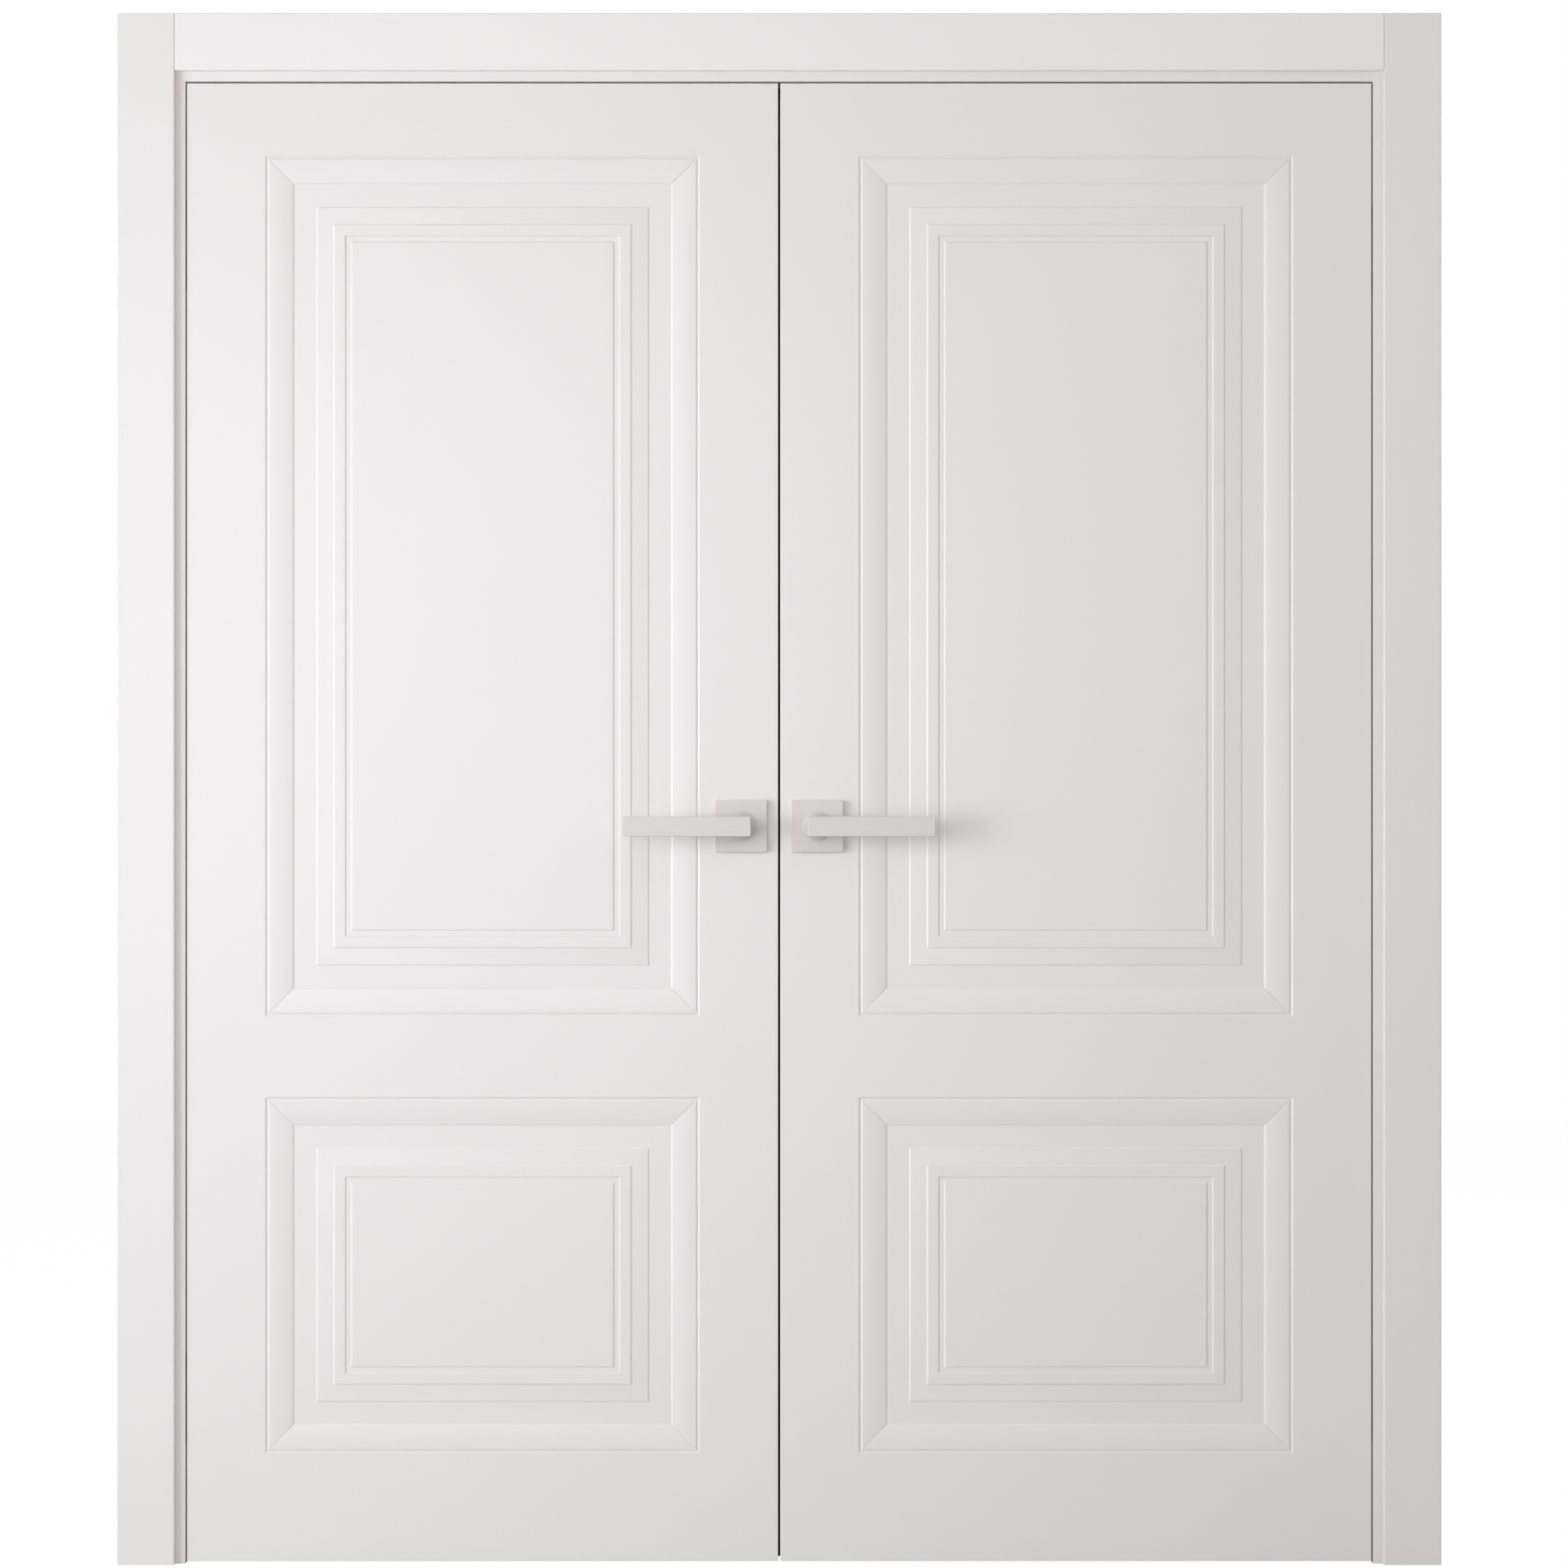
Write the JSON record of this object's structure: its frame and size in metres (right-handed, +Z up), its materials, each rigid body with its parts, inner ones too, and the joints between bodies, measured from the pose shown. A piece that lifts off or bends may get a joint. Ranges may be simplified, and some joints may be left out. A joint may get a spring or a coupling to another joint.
{
  "type": "interior double door",
  "caption": "Double door with routed panel leaves, rebated frame, flat architraves, concealed hinges and lever handles on square roses.",
  "frame": {"origin": "on the floor, in the middle of the doorway and of the closed leaves' thickness", "axes": "+Z up, +X to the right seen from the side the leaves open to, that side facing -Y"},
  "size_m": [1.789, 0.16, 2.0966],
  "materials": {
    "leaf_enamel": "satin white enamel on routed fibreboard",
    "frame_enamel": "satin white enamel on laminated timber",
    "leaf_timber": "satin white enamel on softwood edges",
    "core_board": "raw particle board, hidden",
    "lip_rubber": "dark soft rubber",
    "seal_rubber": "pale soft rubber",
    "handle_finish": "satin pale grey",
    "base_plastic": "dark moulded base, hidden",
    "hinge_metal": "satin nickel",
    "lock_steel": "satin nickel",
    "screw_steel": "bright zinc"
  },
  "bodies": {
    "frame": {"jamb_left": "frame_enamel", "jamb_right": "frame_enamel", "jamb_head": "frame_enamel", "rebate_seal": "seal_rubber", "bolt_keeper": "lock_steel", "frame_screws": "screw_steel", "architrave_front_left": "frame_enamel", "architrave_front_right": "frame_enamel", "architrave_front_head": "frame_enamel", "architrave_back_left": "frame_enamel", "architrave_back_right": "frame_enamel", "architrave_back_head": "frame_enamel", "hinge_jamb_cup_left_top": "hinge_metal", "hinge_jamb_cup_left_bottom": "hinge_metal", "hinge_jamb_cup_right_top": "hinge_metal", "hinge_jamb_cup_right_bottom": "hinge_metal"},
    "leaf_left": {"leaf_left_skin_front": "leaf_enamel", "leaf_left_skin_back": "leaf_enamel", "leaf_left_hinge_stile": "leaf_timber", "leaf_left_meeting_stile": "leaf_timber", "leaf_left_rails": "leaf_timber", "leaf_left_core": "core_board", "leaf_left_screws": "screw_steel", "hinge_leaf_cup_left_top": "hinge_metal", "hinge_leaf_cup_left_bottom": "hinge_metal", "rose_left_front": "handle_finish", "rose_left_back": "handle_finish", "rose_bases_left": "base_plastic", "meeting_seal": "lip_rubber", "latch_strike": "lock_steel", "flush_bolt_top_housing": "lock_steel", "flush_bolt_bottom_housing": "lock_steel"},
    "leaf_right": {"leaf_right_skin_front": "leaf_enamel", "leaf_right_skin_back": "leaf_enamel", "leaf_right_hinge_stile": "leaf_timber", "leaf_right_meeting_stile": "leaf_timber", "leaf_right_rails": "leaf_timber", "leaf_right_core": "core_board", "leaf_right_screws": "screw_steel", "hinge_leaf_cup_right_top": "hinge_metal", "hinge_leaf_cup_right_bottom": "hinge_metal", "rose_right_front": "handle_finish", "rose_right_back": "handle_finish", "rose_bases_right": "base_plastic", "latch_case": "lock_steel", "latch_plate": "lock_steel"},
    "hinge_arms_left": {"hinge_arm_left_top": "hinge_metal", "hinge_arm_left_bottom": "hinge_metal"},
    "hinge_arms_right": {"hinge_arm_right_top": "hinge_metal", "hinge_arm_right_bottom": "hinge_metal"},
    "lever_left": {"lever_left_front": "handle_finish", "lever_left_back": "handle_finish", "spindle_left": "lock_steel"},
    "lever_right": {"lever_right_front": "handle_finish", "lever_right_back": "handle_finish", "spindle_right": "lock_steel", "latch_hub": "lock_steel"},
    "latch_bolt": {"latch_bolt": "lock_steel"},
    "flush_bolt_top": {"flush_bolt_top_rod": "lock_steel"},
    "flush_bolt_bottom": {"flush_bolt_bottom_rod": "lock_steel"}
  },
  "joints": [
    {"name": "leaf_left_swing", "type": "hinge", "parent": "frame", "child": "leaf_left", "pos_m": [-0.8025, -0.02, 0], "axis": [0, 0, -1], "range_deg": [0, 110]},
    {"name": "hinge_arms_left_turn", "type": "hinge", "parent": "frame", "child": "hinge_arms_left", "pos_m": [-0.8025, -0.02, 0], "axis": [0, 0, -1], "range_deg": [0, 55]},
    {"name": "lever_left_turn", "type": "hinge", "parent": "leaf_left", "child": "lever_left", "pos_m": [-0.0515, 0, 0.998], "axis": [0, -1, 0], "range_deg": [0, 45], "stiffness_Nm_per_rad": 2, "springref_deg": -51.57},
    {"name": "leaf_right_swing", "type": "hinge", "parent": "frame", "child": "leaf_right", "pos_m": [0.8025, -0.02, 0], "axis": [0, 0, 1], "range_deg": [0, 110]},
    {"name": "hinge_arms_right_turn", "type": "hinge", "parent": "frame", "child": "hinge_arms_right", "pos_m": [0.8025, -0.02, 0], "axis": [0, 0, 1], "range_deg": [0, 55]},
    {"name": "lever_right_turn", "type": "hinge", "parent": "leaf_right", "child": "lever_right", "pos_m": [0.0515, 0, 0.998], "axis": [0, 1, 0], "range_deg": [0, 45], "stiffness_Nm_per_rad": 2, "springref_deg": -51.57},
    {"name": "latch_bolt_slide", "type": "slide", "parent": "leaf_right", "child": "latch_bolt", "axis": [-1, 0, 0], "range_m": [0, 0.01], "stiffness_N_per_m": 50, "springref_m": -0.01},
    {"name": "flush_bolt_top_slide", "type": "slide", "parent": "leaf_left", "child": "flush_bolt_top", "axis": [0, 0, 1], "range_m": [0, 0.014]},
    {"name": "flush_bolt_bottom_slide", "type": "slide", "parent": "leaf_left", "child": "flush_bolt_bottom", "axis": [0, 0, -1], "range_m": [0, 0.014]}
  ],
  "couplings": [
    {"joint": "hinge_arms_left_turn", "follows": "leaf_left_swing", "ratio": 0.5},
    {"joint": "hinge_arms_right_turn", "follows": "leaf_right_swing", "ratio": 0.5}
  ]
}
